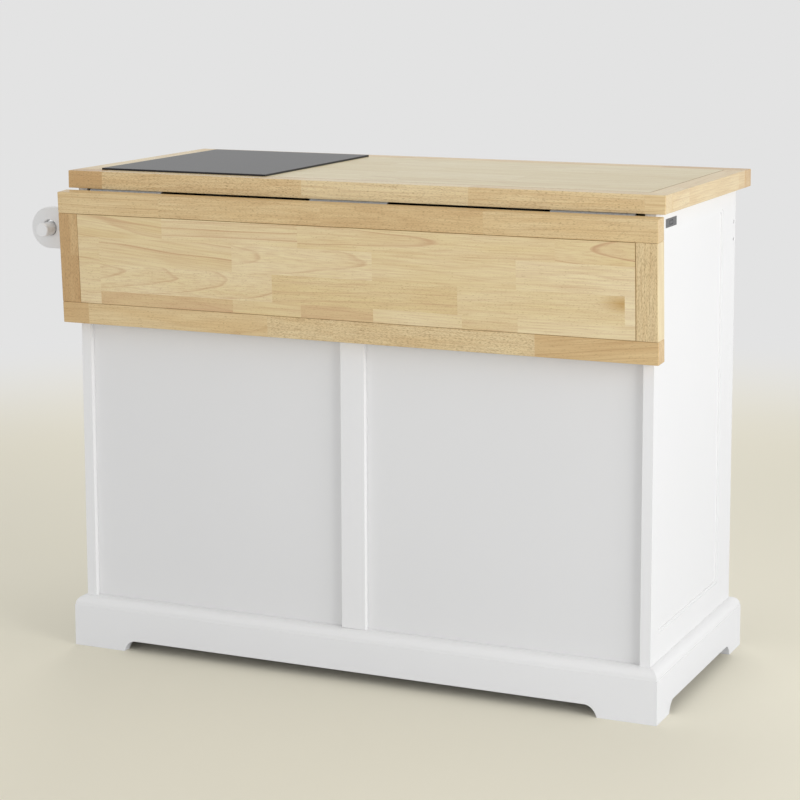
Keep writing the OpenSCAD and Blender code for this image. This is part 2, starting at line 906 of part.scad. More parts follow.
module bearer_end_caps() {
    mid = [(bearer_front + bearer_back) / 2, (bearer_low + bearer_top) / 2];
    snug = bearer_wall + bearer_play / 2;
    color(cap_grey) both_ends() difference() {
        union() {
            block([bx - cap_t, bearer_front, bearer_low], [bx, bearer_back, bearer_top]);
            block([bx - cap_t - cap_plug, bearer_front + snug, bearer_low + snug],
                  [bx - cap_t + eps, bearer_back - snug, bearer_top - snug]);
        }
        along_x(bx - cap_t / 2, bx + eps) translate(mid) difference() {
            oval(cap_oval_w, cap_oval_h);
            oval(cap_oval_w - 2 * cap_ring, cap_oval_h - 2 * cap_ring);
        }
    }
}

// Pads on the bearer bar that the pushed-in support bars lie on
module bar_keepers() {
    color(cap_grey) both_ends()
        block([bar_x - keeper_w / 2, bearer_front, bearer_top],
              [bar_x + keeper_w / 2, bearer_back, keeper_top]);
}

// ---- Side rail ----

module rail_bracket(y) {
    difference() {
        along_y(y - bracket_t / 2, y + bracket_t / 2) {
            translate([bx, rail_z - bracket_h / 2]) square([rail_out, bracket_h]);
            translate([rail_x, rail_z]) circle(d = bracket_h, $fn = 96);
        }
        rod_y(y - bracket_t, y + bracket_t, rail_x, rail_z, rail_hole_r);
        for (z = peg_z) rod_x(bx - eps, bx + peg_hole_d, y, z, peg_hole_r);
    }
}

module rail_brackets() {
    color(paint) for (y = [-bracket_y, bracket_y]) rail_bracket(y);
}

module rail_pegs() {
    reach = peg_hole_d - eps;
    color(raw_wood)
        for (y = [-bracket_y, bracket_y], z = peg_z)
            rod_x(bx - reach, bx + reach, y, z, peg_hole_r - peg_play);
}

module side_rail() {
    color(paint) rod_y(-rail_end, rail_end, rail_x, rail_z - rail_low, rail_r);
}

// ---- Leaf: drawn hanging straight down from the axis, then leant on the cabinet ----

// Turns the hanging leaf inwards until its lower edge rests on the cabinet
module lean() {
    translate([0, hinge_y, hinge_z]) rotate([-leaf_tilt, 0, 0]) children();
}

// The places of all hinge screws along X
module at_hinge_screws() {
    pitch = hinge_len / hinge_screws;
    for (x = hinge_at, i = [0 : hinge_screws - 1])
        translate([x - hinge_len / 2 + (i + 0.5) * pitch, 0, 0]) children();
}

module leaf_field() {
    color(wood) lean()
        block([-tx + strip_w, hinge_drop, -leaf_reach + strip_w],
              [tx - strip_w, hinge_drop + top_t, leaf_top - strip_w]);
}

module leaf_rails() {
    color(wood_edge) lean() difference() {
        union() {
            block([-tx, hinge_drop, leaf_top - strip_w], [tx, hinge_drop + top_t, leaf_top]);
            block([-tx, hinge_drop, -leaf_reach], [tx, hinge_drop + top_t, -leaf_reach + strip_w]);
            both_ends()
                block([tx - strip_w, hinge_drop, -leaf_reach + strip_w + joint_gap],
                      [tx, hinge_drop + top_t, leaf_top - strip_w - joint_gap]);
        }
        at_hinge_screws()
            translate([0, hinge_drop + screw_len + eps, -screw_at]) rotate([90, 0, 0])
                cylinder(h = screw_len + 2 * eps, r = screw_r + pin_play);
    }
}

// One hinge plate, drawn under the worktop or, turned up, inside the leaf: knuckles on the
// axis, a plate that keeps clear of the other plate's knuckles, and tongues that join them.
// The first value is the distance from the axis along the plate, the second is across it.
module hinge_plate(x, own) {
    start = x - hinge_len / 2;
    difference() {
        union() {
            block([start, -hinge_w, hinge_drop - hinge_t], [start + hinge_len, -hinge_root, hinge_drop]);
            for (i = [0 : hinge_knuckles - 1])
                if (i % 2 == own) {
                    low = start + i * knuckle + (i > 0 ? knuckle_play / 2 : 0);
                    high = start + (i + 1) * knuckle
                        - (i < hinge_knuckles - 1 ? knuckle_play / 2 : 0);
                    rod_x(low, high, 0, 0, barrel_r);
                    block([low, -hinge_root - eps, hinge_drop - hinge_t], [high, -tongue_end, hinge_drop]);
                }
        }
        rod_x(start - eps, start + hinge_len + eps, 0, 0, hinge_bore_r);
        for (i = [0 : hinge_screws - 1])
            translate([start + (i + 0.5) * hinge_len / hinge_screws, -screw_at, 0])
                cylinder(h = hinge_drop + eps, r = screw_r + pin_play);
    }
}

module top_hinge_plates() {
    color(steel) translate([0, hinge_y, hinge_z])
        for (x = hinge_at) hinge_plate(x, 0);
}

// The same plate, mirrored so that it lies along the hanging leaf's inner face
module leaf_hinge_plates() {
    color(steel) lean() rotate([-90, 0, 0]) mirror([0, 1, 0])
        for (x = hinge_at) hinge_plate(x, 1);
}

module leaf_hinge_pins() {
    color(steel) lean()
        for (x = hinge_at) rod_x(x - hinge_len / 2, x + hinge_len / 2, 0, 0, hinge_pin_r);
}

module screw() {
    cylinder(h = screw_head_t, r = screw_head_r);
    cylinder(h = screw_head_t + hinge_t + screw_len, r = screw_r);
}

module top_hinge_screws() {
    color(steel) at_hinge_screws()
        translate([0, hinge_y - screw_at, under - hinge_t - screw_head_t]) screw();
}

module leaf_hinge_screws() {
    color(steel) lean() at_hinge_screws()
        translate([0, hinge_drop - hinge_t - screw_head_t, -screw_at]) rotate([-90, 0, 0]) screw();
}

// Section of a guide: a strap over the bar, with a foot on each side of it
module guide_section() {
    inner = bar_w / 2 + guide_play;
    outer = inner + guide_t;
    deep = bar_out - guide_play;
    foot = outer + guide_foot;
    half = [[0, deep], [inner, deep], [inner, hinge_drop], [foot, hinge_drop],
            [foot, hinge_drop - guide_t], [outer, hinge_drop - guide_t],
            [outer, deep - guide_t], [0, deep - guide_t]];
    polygon(half);
    mirror([1, 0]) polygon(half);
}

module bar_guides() {
    color(dark_steel) lean()
        for (x = [-bar_x, bar_x], z = guide_at)
            translate([x, 0, -z]) linear_extrude(guide_len, center = true) guide_section();
}

module support_bar(x) {
    finger_z = -bar_top - bar_len + 2 * finger_r;
    color(steel) lean() difference() {
        block([x - bar_w / 2, bar_out, -bar_top - bar_len], [x + bar_w / 2, bar_in, -bar_top]);
        rod_y(bar_out - eps, bar_in + eps, x, finger_z, finger_r);
    }
}

worktop_field();
worktop_rails();
glass_plate();
side_panel_left();
side_panel_right();
centre_divider();
bottom_panel();
back_panel_left();
back_panel_right();
back_mullion();
back_batten();
face_frame_stiles();
face_frame_rails();
plinth_back();
plinth_front();
plinth_left();
plinth_right();
corner_blocks();
middle_foot();
top_blocks();
shelf_left();
shelf_right();
shelf_pins();
drawer_runners();
door_hinge_plates();
door_catches();
bearer_bar();
bearer_end_caps();
bar_keepers();
rail_brackets();
rail_pegs();
side_rail();
leaf_field();
leaf_rails();
top_hinge_plates();
leaf_hinge_plates();
leaf_hinge_pins();
top_hinge_screws();
leaf_hinge_screws();
bar_guides();
support_bar(-bar_x);  // support_bar_left
support_bar(bar_x);  // support_bar_right
drawer_front_left();
drawer_box_left();
drawer_knob_left();
drawer_front_right();
drawer_box_right();
drawer_knob_right();
door_n(1);  // door_1
door_n_knob(1);  // door_1_knob
door_n_hinges(1);  // door_1_hinges
door_n(2);  // door_2
door_n_knob(2);  // door_2_knob
door_n_hinges(2);  // door_2_hinges
door_n(3);  // door_3
door_n_knob(3);  // door_3_knob
door_n_hinges(3);  // door_3_hinges
door_n(4);  // door_4
door_n_knob(4);  // door_4_knob
door_n_hinges(4);  // door_4_hinges
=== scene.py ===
"""Looks of a kitchen island with a drop leaf: a white lacquered cabinet on a bracket plinth,
a glued hardwood worktop with a black glass plate let in, and a leaf on three long hinges."""

import json
import math
import random

import bmesh
import bpy
from mathutils import Matrix, Vector

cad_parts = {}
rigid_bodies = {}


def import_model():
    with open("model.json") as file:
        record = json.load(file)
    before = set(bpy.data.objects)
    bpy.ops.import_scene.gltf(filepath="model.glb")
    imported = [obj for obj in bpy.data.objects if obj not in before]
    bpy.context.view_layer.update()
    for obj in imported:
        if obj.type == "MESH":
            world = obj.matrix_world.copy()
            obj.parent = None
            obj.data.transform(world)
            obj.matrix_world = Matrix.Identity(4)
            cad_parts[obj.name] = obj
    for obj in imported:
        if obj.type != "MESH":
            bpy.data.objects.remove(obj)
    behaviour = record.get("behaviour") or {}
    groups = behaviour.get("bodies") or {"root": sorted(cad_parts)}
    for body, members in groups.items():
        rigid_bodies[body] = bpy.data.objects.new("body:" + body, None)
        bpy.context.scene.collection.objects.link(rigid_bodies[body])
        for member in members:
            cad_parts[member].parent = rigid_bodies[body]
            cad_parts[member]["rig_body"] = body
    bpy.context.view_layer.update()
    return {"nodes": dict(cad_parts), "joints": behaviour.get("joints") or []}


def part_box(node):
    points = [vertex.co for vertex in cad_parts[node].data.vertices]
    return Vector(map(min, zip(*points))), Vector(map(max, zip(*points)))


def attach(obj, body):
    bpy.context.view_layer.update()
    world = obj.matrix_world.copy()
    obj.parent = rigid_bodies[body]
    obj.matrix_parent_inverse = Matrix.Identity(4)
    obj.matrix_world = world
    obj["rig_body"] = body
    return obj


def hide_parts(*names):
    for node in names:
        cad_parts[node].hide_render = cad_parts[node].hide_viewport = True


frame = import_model()
cad = frame["nodes"]

# ---- Room, light and camera ----
# A plain pale studio floor that sweeps up into a white wall, under a soft white room. A wide
# lamp stands beyond the cabinet's far end, and weaker ones behind the camera, above and in front.


def linear(code):
    """An sRGB hex colour as linear red, green, blue and alpha."""
    parts = [int(code[i : i + 2], 16) / 255 for i in (1, 3, 5)]
    flat = [c / 12.92 if c <= 0.04045 else ((c + 0.055) / 1.055) ** 2.4 for c in parts]
    return (*flat, 1.0)


def node(tree, kind, inputs=None, **settings):
    """Adds a shader node. Settings are its own properties, inputs are values or sockets."""
    made = tree.nodes.new("ShaderNode" + kind)
    for name, value in settings.items():
        setattr(made, name, value)
    for name, value in (inputs or {}).items():
        if isinstance(value, bpy.types.NodeSocket):
            tree.links.new(value, made.inputs[name])
        else:
            made.inputs[name].default_value = value
    return made


def finish_of(name, **sockets):
    """A new material with one Principled shader, whose plain values are set on its sockets."""
    made = bpy.data.materials.new(name)
    made.use_nodes = True
    tree = made.node_tree
    tree.nodes.clear()
    values = {k.replace("_", " "): v for k, v in sockets.items()}
    shader = node(tree, "BsdfPrincipled", values)
    node(tree, "OutputMaterial", {"Surface": shader.outputs["BSDF"]})
    return made, tree, shader


def blend_of(tree, share, first, second):
    """Two colours mixed by a share: each is a hex colour or a socket."""
    a, b = (linear(c) if isinstance(c, str) else c for c in (first, second))
    return node(tree, "Mix", {"Factor": share, "A": a, "B": b}, data_type="RGBA").outputs["Result"]


def spread_of(tree, value, low, high, to_low, to_high):
    """A value's range from low to high, stretched to another range and clamped."""
    ends = {"From Min": low, "From Max": high, "To Min": to_low, "To Max": to_high}
    return node(tree, "MapRange", {"Value": value, **ends}).outputs["Result"]


wall_white = "#E3E3E3"
floor_size = 40.0
sweep_from, sweep_to = 1.9, 3.6
bpy.ops.object.select_all(action="DESELECT")
bpy.ops.mesh.primitive_plane_add(size=floor_size)
floor = bpy.context.object
floor.name = "studio_floor"
floor_paint, tree, shader = finish_of("pale_studio_floor", Roughness=0.8)
place = node(tree, "TexCoord").outputs["Object"]
cloud = node(tree, "TexNoise", {"Vector": place, "Scale": 0.8, "Detail": 2.0}).outputs["Fac"]
# The floor is cream to the eye, and throws a neutral light on the cabinet.
looked_at = node(tree, "LightPath").outputs["Is Camera Ray"]
cream = blend_of(tree, cloud, "#EAE5D2", "#F0EBDA")
tree.links.new(blend_of(tree, looked_at, "#DCDCDB", cream), shader.inputs["Base Color"])
reach = node(tree, "VectorMath", {0: place}, operation="LENGTH").outputs["Value"]
far = node(
    tree,
    "MapRange",
    {"Value": reach, "From Min": sweep_from, "From Max": sweep_to},
    interpolation_type="SMOOTHSTEP",
).outputs["Result"]
glow = node(tree, "Emission", {"Color": linear(wall_white), "Strength": 1.0}).outputs[0]
sweep = node(tree, "MixShader", {0: far, 1: shader.outputs[0], 2: glow}).outputs[0]
tree.links.new(sweep, next(n for n in tree.nodes if n.type == "OUTPUT_MATERIAL").inputs["Surface"])
floor.data.materials.append(floor_paint)

world = bpy.data.worlds.new("white_studio")
bpy.context.scene.world = world
world.use_nodes = True
tree = world.node_tree
tree.nodes.clear()
rays = node(tree, "LightPath").outputs
seen = node(
    tree, "Math", {0: rays["Is Camera Ray"], 1: rays["Is Glossy Ray"]}, operation="MAXIMUM"
).outputs[0]
seen = node(tree, "Math", {0: seen, 1: rays["Is Transmission Ray"]}, operation="MAXIMUM").outputs[0]
room = node(tree, "Background", {"Color": linear("#FFFFFF"), "Strength": 0.55}).outputs[0]
wall = node(tree, "Background", {"Color": linear(wall_white), "Strength": 1.0}).outputs[0]
both = node(tree, "MixShader", {0: seen, 1: room, 2: wall}).outputs[0]
node(tree, "OutputWorld", {"Surface": both})


island_middle = Vector((0.0, 0.0, 0.5))


def lamp(name, at, width, height, watts):
    """A soft rectangular lamp that faces the middle of the island."""
    light = bpy.data.lights.new(name, "AREA")
    light.shape, light.size, light.size_y, light.energy = "RECTANGLE", width, height, watts
    stand = bpy.data.objects.new(name, light)
    stand.location = at
    towards = island_middle - Vector(at)
    stand.rotation_euler = towards.to_track_quat("-Z", "Y").to_euler()
    stand.visible_glossy = False
    bpy.context.scene.collection.objects.link(stand)


lamp("lamp_beyond_end", (-4.0, 1.6, 1.3), 2.2, 2.2, 83)
lamp("lamp_behind_camera", (0.8, 4.8, 1.2), 2.8, 2.0, 24)
lamp("lamp_overhead", (0.2, -0.3, 4.0), 2.6, 2.6, 20)
lamp("lamp_front", (1.8, -4.4, 2.0), 2.4, 2.0, 52)

# The photograph's uprights are nearly parallel, so the lens is shifted as well as tipped.
lens = bpy.data.cameras.new("camera")
lens.lens = 102.79
lens.sensor_width = 36.0
lens.shift_y = -0.15
camera = bpy.data.objects.new("camera", lens)
camera_at = (-1.716, 3.813, 1.294)
yaw, pitch, roll = (math.radians(a) for a in (-65.608, -8.137, -0.172))
camera.matrix_world = (
    Matrix.Translation(camera_at)
    @ Matrix.Rotation(yaw - math.pi / 2, 4, "Z")
    @ Matrix.Rotation(math.pi / 2 + pitch, 4, "X")
    @ Matrix.Rotation(roll, 4, "Z")
)
bpy.context.scene.collection.objects.link(camera)
bpy.context.scene.camera = camera
bpy.context.scene.view_settings.view_transform = "Standard"

# ---- Cabinet boards and plinth ----
# Medium-density fibreboard, routed, sanded and sprayed with white satin lacquer, then joined with
# dowels and glue. The lacquer rounds every arris by about a millimetre, which catches the light.


def sprayed(name, darker, lighter, gloss):
    """Sprayed white lacquer: an orange peel of about 2 mm, and a tone that drifts over a board."""
    made, tree, shader = finish_of(name, Roughness=gloss, IOR=1.5)
    place = node(tree, "TexCoord").outputs["Object"]
    peel = node(tree, "TexNoise", {"Vector": place, "Scale": 480.0, "Detail": 2.0}).outputs["Fac"]
    drift = node(tree, "TexNoise", {"Vector": place, "Scale": 2.2, "Detail": 3.0}).outputs["Fac"]
    tree.links.new(blend_of(tree, drift, darker, lighter), shader.inputs["Base Color"])
    sheen = spread_of(tree, peel, 0.3, 0.7, gloss - 0.04, gloss + 0.04)
    tree.links.new(sheen, shader.inputs["Roughness"])
    bump = node(tree, "Bump", {"Strength": 0.25, "Distance": 0.00006, "Height": peel})
    tree.links.new(bump.outputs["Normal"], shader.inputs["Normal"])
    return made


# Satin on the boards that are seen. The back is thin hardboard with a duller coat, whose grey
# is painted shade of the recess it sits in.
lacquer = sprayed("white_satin_lacquer", "#EEEEEE", "#F3F3F3", 0.4)
dull_shaded_lacquer = sprayed("white_matt_lacquer", "#E7E7E7", "#ECECEC", 0.55)


def into_edit(piece, kind):
    """Makes a piece the only one selected, and opens it for editing with nothing selected."""
    bpy.ops.object.select_all(action="DESELECT")
    piece.select_set(True)
    bpy.context.view_layer.objects.active = piece
    bpy.ops.object.mode_set(mode="EDIT")
    bpy.ops.mesh.select_mode(type=kind)
    bpy.ops.mesh.select_all(action="DESELECT")


def out_of_edit(smooth=50):
    """Closes the piece that is open, and smooths its edges under an angle in degrees. Wide faces
    outweigh narrow ones, so that a board stays flat right up to its rounded arrises."""
    bpy.ops.object.mode_set(mode="OBJECT")
    bpy.ops.object.shade_smooth_by_angle(angle=math.radians(smooth))
    piece = bpy.context.object
    weigh = piece.modifiers.new("wide_faces", "WEIGHTED_NORMAL")
    weigh.keep_sharp = True
    bpy.ops.object.modifier_apply(modifier=weigh.name)


def stands_for(piece, name, material):
    """Gives a piece its finish and its body, and hides the CAD node that it stands for."""
    piece.data.materials.clear()
    piece.data.materials.append(material)
    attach(piece, cad[name]["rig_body"])
    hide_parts(name)
    return piece


# Round the glass plate's bed the wood keeps its sharp edges, on each side of the plate's rim.
bed_low, bed_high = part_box("glass_plate")
bed_rim = 0.0005


def eased(name, radius, material, least=0.03, steps=2):
    """A copy of a CAD board, merged, with its arrises over a least length rounded."""
    crease = math.radians(35)
    board = bpy.data.objects.new(name + "_eased", cad[name].data.copy())
    bpy.context.scene.collection.objects.link(board)
    into_edit(board, "EDGE")
    bpy.ops.mesh.select_all(action="SELECT")
    bpy.ops.mesh.customdata_custom_splitnormals_clear()
    bpy.ops.mesh.remove_doubles(threshold=0.00001)
    bpy.ops.mesh.dissolve_limited(angle_limit=math.radians(0.5))
    bpy.ops.mesh.select_all(action="DESELECT")
    shape = bmesh.from_edit_mesh(board.data)
    for edge in shape.edges:
        at = (edge.verts[0].co + edge.verts[1].co) / 2
        beside = [bed_low[i] - bed_rim < at[i] < bed_high[i] + bed_rim for i in (0, 1)]
        bedded = all(beside) and at.z > bed_low.z - bed_rim and name != "glass_plate"
        if edge.is_manifold and edge.calc_length() > least and not bedded:
            edge.select = edge.calc_face_angle() > crease
    bmesh.update_edit_mesh(board.data)
    bpy.ops.mesh.bevel(offset=radius, segments=steps, affect="EDGES", clamp_overlap=True)
    out_of_edit()
    return stands_for(board, name, material)


board_arris, panel_arris, thin_arris = 0.001, 0.0008, 0.0005
for name in ["side_panel_left", "side_panel_right"]:
    eased(name, panel_arris, lacquer)
carcase = (
    "centre_divider bottom_panel back_mullion back_batten "
    "shelf_left shelf_right face_frame_stiles face_frame_rails"
)
for name in carcase.split():
    eased(name, board_arris, lacquer)
# The back panels take the greyer lacquer: its colour holds painted shade of their recess.
for name in ["back_panel_left", "back_panel_right"]:
    eased(name, thin_arris, dull_shaded_lacquer)
for name in ["plinth_back", "plinth_front", "plinth_left", "plinth_right"]:
    eased(name, thin_arris, lacquer, least=0.004)

# ---- Worktop ----
# Rubberwood staves, finger-jointed end to end, glued edge to edge and framed with border strips,
# then sanded flush and lacquered. Each block of a stave has its own tone and figure.

# All wood here shares one build-up: growth rings round a pith, fibres along the grain and open
# pores. What differs is the colour, and whether a clear satin lacquer lies on it or it is planed.
marks = ("tone", "figure", "pores", "stain")
ring_spacing = 0.011


def sawn_wood(name, colours, gloss, coated=0.0, stained=None):
    """Wood whose grain attribute is the place in its trunk, with the pith along X. Each face's
    tone, figure, pores and stain say how strong these are. Stained is the middle, the half
    sizes and the colour of a stain."""
    pale, honey, tan, line, pore = colours
    made, tree, shader = finish_of(
        name, Roughness=gloss, IOR=1.5, Coat_Weight=coated, Coat_Roughness=0.25
    )
    grain = node(tree, "Attribute", attribute_name="grain").outputs["Vector"]
    tone, figure, pores, stain = (
        node(tree, "Attribute", attribute_name=mark).outputs["Fac"] for mark in marks
    )

    def texture(along, across, detail):
        stretch = node(
            tree, "VectorMath", {0: grain, 1: (along, across, across)}, operation="MULTIPLY"
        ).outputs[0]
        values = {"Vector": stretch, "Scale": 1.0, "Detail": detail}
        return node(tree, "TexNoise", values).outputs["Fac"]

    def math_of(kind, *values):
        return node(tree, "Math", dict(enumerate(values)), operation=kind).outputs[0]

    # Growth rings about 11 mm apart, bent by the slow wander of the trunk, less so in a clear
    # figure. Each darkens outwards and ends in a thin line, drawn about 1 mm wide.
    flat = node(tree, "VectorMath", {0: grain, 1: (0, 1, 1)}, operation="MULTIPLY").outputs[0]
    radius = node(tree, "VectorMath", {0: flat}, operation="LENGTH").outputs["Value"]
    wander = math_of("SUBTRACT", texture(3.2, 22.0, 2.0), 0.5)
    bent = math_of("MULTIPLY_ADD", wander, spread_of(tree, figure, 0.3, 0.9, 0.018, 0.005), radius)
    phase = math_of("FRACT", math_of("DIVIDE", bent, ring_spacing))
    summer = spread_of(tree, phase, 0.3, 0.95, 0.0, 1.0)
    rising = spread_of(tree, phase, 0.87, 0.95, 0.0, 1.0)
    edge = math_of("MULTIPLY", rising, spread_of(tree, phase, 0.96, 1.0, 1.0, 0.0))
    # Colour drifts along a block in clouds about 150 mm long.
    cloud = math_of("SUBTRACT", texture(6.0, 45.0, 2.0), 0.5)
    shade = math_of("MULTIPLY_ADD", cloud, 0.7, tone)
    # Fibres of about 2 mm, and open pores as short dark dashes: 0.3 mm wide in life, drawn 0.8 mm.
    fibres = texture(12.0, 430.0, 4.0)
    dense = math_of("MULTIPLY_ADD", pores, -0.16, 0.69)
    specks = texture(200.0, 1250.0, 1.0)
    dashes = spread_of(tree, specks, dense, math_of("ADD", dense, 0.1), 0.0, 0.5)
    body = blend_of(tree, spread_of(tree, shade, 0.0, 0.6, 0.0, 1.0), pale, honey)
    body = blend_of(tree, spread_of(tree, shade, 0.6, 1.0, 0.0, 1.0), body, tan)
    body = blend_of(tree, math_of("MULTIPLY", summer, math_of("MULTIPLY", figure, 0.4)), body, tan)
    kept = spread_of(tree, cloud, -0.12, 0.1, 0.45, 0.8)
    body = blend_of(tree, math_of("MULTIPLY", math_of("MULTIPLY", edge, figure), kept), body, line)
    body = blend_of(tree, spread_of(tree, fibres, 0.4, 0.75, 0.0, 0.38), body, line)
    if stained:
        middle, halves, ochre = stained
        shrunk = [1 / half if half else 0 for half in halves]
        place = node(tree, "TexCoord").outputs["Object"]
        off = node(tree, "VectorMath", {0: place, 1: middle}, operation="SUBTRACT").outputs[0]
        off = node(tree, "VectorMath", {0: off, 1: shrunk}, operation="MULTIPLY").outputs[0]
        away = node(tree, "VectorMath", {0: off}, operation="LENGTH").outputs["Value"]
        ragged = math_of("MULTIPLY_ADD", fibres, 0.9, away)
        spot = math_of("MULTIPLY", stain, spread_of(tree, ragged, 0.5, 1.5, 0.75, 0.0))
        body = blend_of(tree, spot, body, ochre)
    body = blend_of(tree, dashes, body, pore)
    sheen = spread_of(tree, fibres, 0.3, 0.7, gloss - 0.05, gloss + 0.05)
    bump = node(tree, "Bump", {"Strength": 0.3, "Distance": 0.0001, "Height": fibres})
    tree.links.new(body, shader.inputs["Base Color"])
    tree.links.new(sheen, shader.inputs["Roughness"])
    tree.links.new(bump.outputs["Normal"], shader.inputs["Normal"])
    return made


def write_grain(piece, square, block_of, mean=0.42):
    """Writes each face's marks and each corner's place in its trunk. Square turns the object's
    space so that the grain runs along X. Block_of gives a face's block as its name, its
    middle across and through, and what is chosen for it. Mean is the tone of the others."""
    mesh = piece.data
    grain = mesh.attributes.new("grain", "FLOAT_VECTOR", "CORNER")
    written = {mark: mesh.attributes.new(mark, "FLOAT", "FACE") for mark in marks}
    for face in mesh.polygons:
        name, across, through, chosen = block_of(face)
        chance = random.Random(f"{piece.name} {name}")
        block = {
            "run": chance.uniform(0, 20),
            "tone": chance.gauss(mean, 0.12),
            "aside": chance.uniform(-0.05, 0.05),
            "depth": chance.uniform(0.03, 0.1),
            "rise": chance.uniform(-0.035, 0.035),
            "drift": chance.uniform(-0.02, 0.02),
            "figure": chance.uniform(0.1, 0.5),
            "pores": chance.uniform(0.1, 0.5),
            "stain": 0.0,
        }
        block |= chosen or {}
        for mark in marks:
            written[mark].data[face.index].value = min(1.0, max(0.0, block[mark]))
        for corner in face.loop_indices:
            spot = square @ mesh.vertices[mesh.loops[corner].vertex_index].co
            y = spot.y - across + block["aside"] + block["drift"] * spot.x
            z = spot.z - through + block["depth"] + block["rise"] * spot.x
            grain.data[corner].vector = (spot.x + block["run"], y, z)


top_colours = ("#EBE1BF", "#E0D2A6", "#D2BA91", "#B89466", "#A5875C")
strip_colours = ("#EEDCB0", "#E1C48F", "#CDA873", "#B28654", "#8A6430")
# Darker wood for the field's arrises in the groove beside its frame: painted shade.
groove_shade_colours = ("#A98A58", "#997948", "#8A693C", "#7C5C33", "#604628")
top_wood = sawn_wood("lacquered_rubberwood_top", top_colours, 0.43, 0.25)
strip_wood = sawn_wood("lacquered_rubberwood_strips", strip_colours, 0.43, 0.42)
groove_shade_wood = sawn_wood("rubberwood_in_the_groove", groove_shade_colours, 0.6)


def lay_blocks(board, square, rows, chosen=None, groove=None, mean=0.42):
    """Splits a board into glued blocks. Rows are the limits of a stave across its width and
    the places of its joints along it. Chosen gives what is known of some blocks, groove the
    darker finish painted on the board's arrises where a frame meets them, as shade of that groove."""
    back = square.inverted()
    turn = back.to_3x3()
    everywhere, sliver, square_on = 9.0, 0.001, 0.97

    def cut(low, high, at, way):
        shape = bmesh.from_edit_mesh(board.data)
        for face in shape.faces:
            face.select = low < (square @ face.calc_center_median()).y < high
        bmesh.update_edit_mesh(board.data)
        bpy.ops.mesh.bisect(plane_co=back @ Vector(at), plane_no=turn @ Vector(way))

    into_edit(board, "FACE")
    bpy.ops.mesh.select_all(action="SELECT")
    bpy.ops.mesh.customdata_custom_splitnormals_clear()
    bpy.ops.mesh.quads_convert_to_tris()
    for low, high, joints in rows[1:]:
        cut(-everywhere, everywhere, (0, low, 0), (0, 1, 0))
    for low, high, joints in rows:
        for joint in joints:
            cut(low - sliver, high + sliver, (joint, (low + high) / 2, 0), (1, 0, 0))
    out_of_edit()
    heights = [(square @ v.co).z for v in board.data.vertices]
    middle = (min(heights) + max(heights)) / 2

    def block_of(face):
        spot = square @ face.center
        row = sum(low <= spot.y for low, high, joints in rows[1:])
        low, high, joints = rows[row]
        block = sum(joint < spot.x for joint in joints)
        return (row, block), (low + high) / 2, middle, (chosen or {}).get((row, block))

    write_grain(board, square, block_of, mean)
    # Faces not square on, the field's arrises where its frame meets it, take the painted groove
    # shade.
    if groove:
        board.data.materials.append(groove)
        for face in board.data.polygons:
            facing = max(abs(part) for part in face.normal)
            face.material_index = int(facing < square_on)


def separated(board, where):
    """Splits a frame of border strips into single strips. Where names one by its middle."""
    into_edit(board, "FACE")
    bpy.ops.mesh.select_all(action="SELECT")
    bpy.ops.mesh.separate(type="LOOSE")
    bpy.ops.object.mode_set(mode="OBJECT")
    found = {}
    for strip in list(bpy.context.selected_objects):
        corners = [Vector(c) for c in strip.bound_box]
        found[where(sum(corners, Vector()) / 8)] = strip
    for side, strip in found.items():
        strip.name = f"{board.name.split('_')[0]}_strip_{side}"
    return found


def end_of(at, near=0.3):
    """The end of the island that a place is near, or None if it is about the middle."""
    if abs(at.x) < near:
        return None
    return "right" if at.x > 0 else "left"


def lay_strip(strip, square, joints, mean, chosen=None):
    """A border strip: one stave, with the places of its joints and the mean of its tones."""
    spots = [square @ v.co for v in strip.data.vertices]
    low, high = min(s.y for s in spots), max(s.y for s in spots)
    lay_blocks(strip, square, [(low, high, joints)], chosen, mean=mean)


level = Matrix.Identity(4)
crosswise = Matrix.Rotation(-math.pi / 2, 4, "Z")
stave_w = 0.05
field_arris, strip_arris = 0.0006, 0.0012

top_field = eased("worktop_field", field_arris, top_wood, least=0.2)
low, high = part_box("worktop_field")
chance = random.Random("worktop staves")
rows, edge, least_w = [], low.y, 0.001
while edge < high.y - least_w:
    upper = min(high.y, edge + stave_w)
    joints, at = [], low.x + chance.uniform(0.05, 0.3)
    while at < high.x:
        joints.append(at)
        at += chance.uniform(0.24, 0.42)
    rows.append((edge, upper, joints))
    edge = upper
lay_blocks(top_field, level, rows, groove=groove_shade_wood)

top_strips = separated(
    eased("worktop_rails", strip_arris, strip_wood),
    lambda at: end_of(at) or ("back" if at.y > 0 else "front"),
)
# The back strip's blocks, which show above the hanging leaf, are given one by one.
tones = {
    (0, 1): {"tone": 0.3, "figure": 0.4, "pores": 0.7},
    (0, 2): {"tone": 0.02, "pores": 0.7},
    (0, 3): {"tone": 0.4, "pores": 0.9},
    (0, 4): {"tone": 0.95, "figure": 0.3, "pores": 0.8},
}
lay_strip(top_strips["back"], level, [-0.539, -0.224, 0.094, 0.503], 0.36, tones)
lay_strip(top_strips["front"], level, [-0.41, -0.07, 0.21, 0.55], 0.36, {(0, 0): {"tone": 0.85}})
lay_strip(top_strips["left"], crosswise, [-0.19, 0.11], 0.2)
lay_strip(top_strips["right"], crosswise, [-0.06, 0.15], 0.2)

# ---- Glass plate ----
# A sheet of black toughened glass with polished, slightly rounded edges, bedded in a shallow
# recess of the worktop. Its face is etched to a soft sheen that hides fingerprints.

